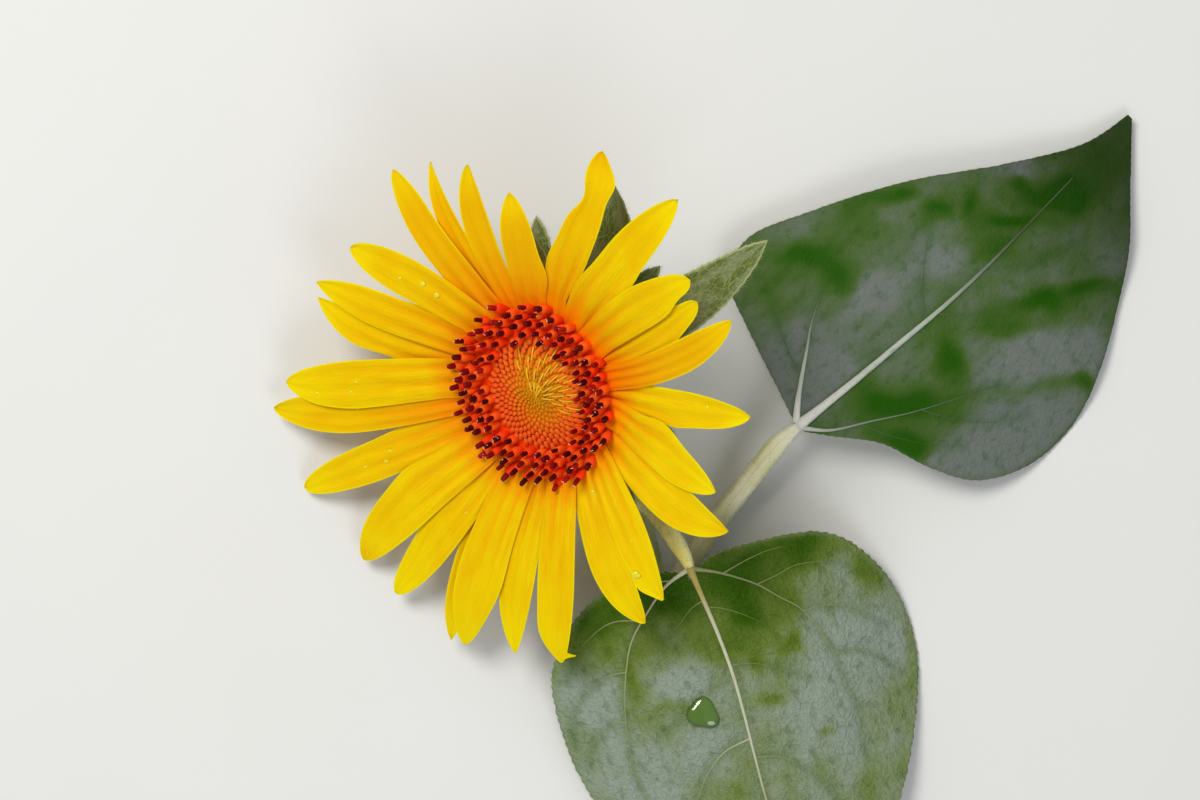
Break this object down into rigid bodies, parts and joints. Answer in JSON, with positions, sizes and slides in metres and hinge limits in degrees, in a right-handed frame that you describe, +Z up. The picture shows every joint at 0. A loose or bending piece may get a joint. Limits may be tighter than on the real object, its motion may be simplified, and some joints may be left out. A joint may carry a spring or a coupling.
{
  "type": "cut sunflower stem",
  "caption": "Cut flowering stem lying flat: an open bloom of golden rays round a dark disc, on a bent neck with leafy green bracts, and broad heart-shaped leaves on long stalks.",
  "frame": {"origin": "the point on the ground under the middle of the whole part, as it lies", "axes": "+Z up, off the ground the stem lies on; the cut end of the stem lies towards -Y and a little +X, the bloom towards -X and the second leaf towards +X +Y"},
  "size_m": [0.2219, 0.2336, 0.074],
  "materials": {
    "ray": "satin, golden yellow, orange towards the root",
    "floret": "matte, dark maroon tubes over red-orange",
    "bud": "matte, orange to golden green",
    "cup": "matte green, finely hairy",
    "bract": "matte grey-green, hairy at the edges",
    "stem": "matte pale green, bristly",
    "stalk": "matte whitish green, bristly",
    "leaf": "matte dark green with a grey sheen"
  },
  "bodies": {
    "root": {"receptacle": "cup", "disc_florets": "floret", "disc_buds": "bud", "neck": "stem", "stem": "stem", "stalk_near": "stalk", "stalk_far": "stalk", "leaf_near": "leaf", "leaf_far": "leaf", "ray_01": "ray", "ray_02": "ray", "ray_03": "ray", "ray_04": "ray", "ray_05": "ray", "ray_06": "ray", "ray_07": "ray", "ray_08": "ray", "ray_09": "ray", "ray_10": "ray", "ray_11": "ray", "ray_12": "ray", "ray_13": "ray", "ray_14": "ray", "ray_15": "ray", "ray_16": "ray", "ray_17": "ray", "ray_18": "ray", "ray_19": "ray", "ray_20": "ray", "ray_21": "ray", "ray_22": "ray", "ray_23": "ray", "ray_24": "ray", "ray_25": "ray", "ray_26": "ray", "bract_01": "bract", "bract_02": "bract", "bract_03": "bract", "bract_04": "bract", "bract_05": "bract", "bract_06": "bract", "bract_07": "bract", "bract_08": "bract", "bract_09": "bract", "bract_10": "bract", "bract_11": "bract", "bract_12": "bract", "bract_13": "bract", "bract_14": "bract", "bract_15": "bract", "bract_16": "bract", "bract_17": "bract", "bract_18": "bract", "bract_19": "bract", "bract_20": "bract", "bract_21": "bract"}
  },
  "joints": []
}
